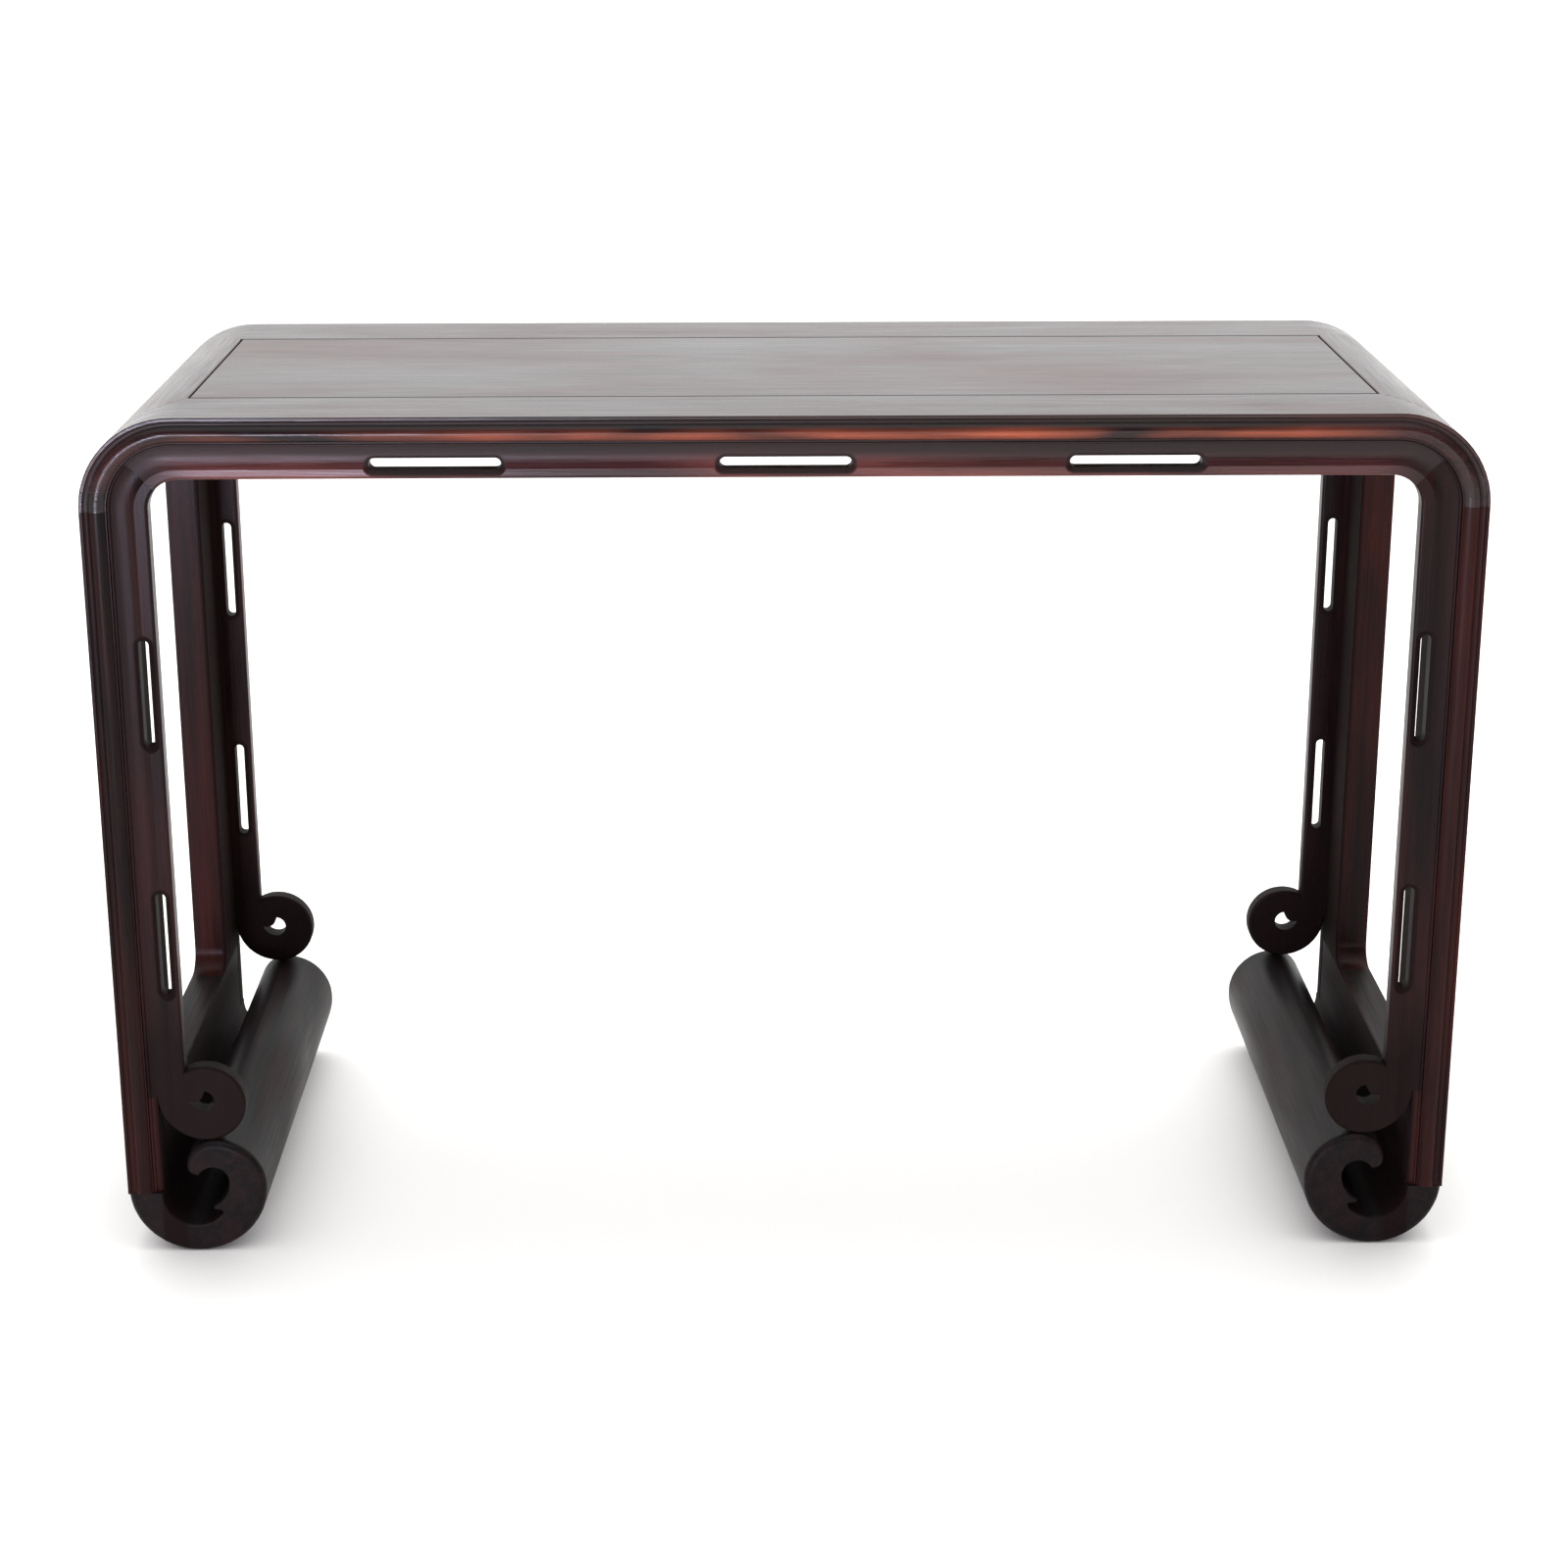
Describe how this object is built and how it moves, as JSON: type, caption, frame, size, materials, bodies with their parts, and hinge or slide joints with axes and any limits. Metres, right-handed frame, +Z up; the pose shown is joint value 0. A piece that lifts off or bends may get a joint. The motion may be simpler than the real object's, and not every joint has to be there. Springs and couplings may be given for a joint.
{
  "type": "altar table",
  "caption": "Narrow hardwood altar table with waterfall corners, moulded edge, pierced beaded aprons ending in curls, and open scroll feet.",
  "frame": {"origin": "on the floor under the middle of the table", "axes": "+X along the table's length, +Y to the back, +Z up"},
  "size_m": [1.25, 0.45, 0.814],
  "materials": {
    "frame_wood": "dark red-brown hardwood under clear lacquer, satin to gloss",
    "panel_wood": "same hardwood, broad flat grain, lacquered",
    "foot_wood": "same hardwood with open end grain, lacquered",
    "batten_wood": "plain wood, unfinished",
    "tenon_wood": "plain wood, unfinished"
  },
  "bodies": {
    "root": {"top_rail_front": "frame_wood", "top_rail_back": "frame_wood", "top_end_right": "frame_wood", "top_end_left": "frame_wood", "top_panel": "panel_wood", "panel_batten_left": "batten_wood", "panel_batten_middle": "batten_wood", "panel_batten_right": "batten_wood", "apron_front": "frame_wood", "apron_back": "frame_wood", "spandrel_front_right": "frame_wood", "spandrel_front_left": "frame_wood", "spandrel_back_right": "frame_wood", "spandrel_back_left": "frame_wood", "leg_stile_front_right": "frame_wood", "leg_stile_front_left": "frame_wood", "leg_stile_back_right": "frame_wood", "leg_stile_back_left": "frame_wood", "scroll_foot_right": "foot_wood", "scroll_foot_left": "foot_wood", "frame_mitre_tenons": "tenon_wood", "leg_head_tenons": "tenon_wood", "leg_foot_tenons": "tenon_wood", "apron_mitre_splines": "tenon_wood"}
  },
  "joints": []
}
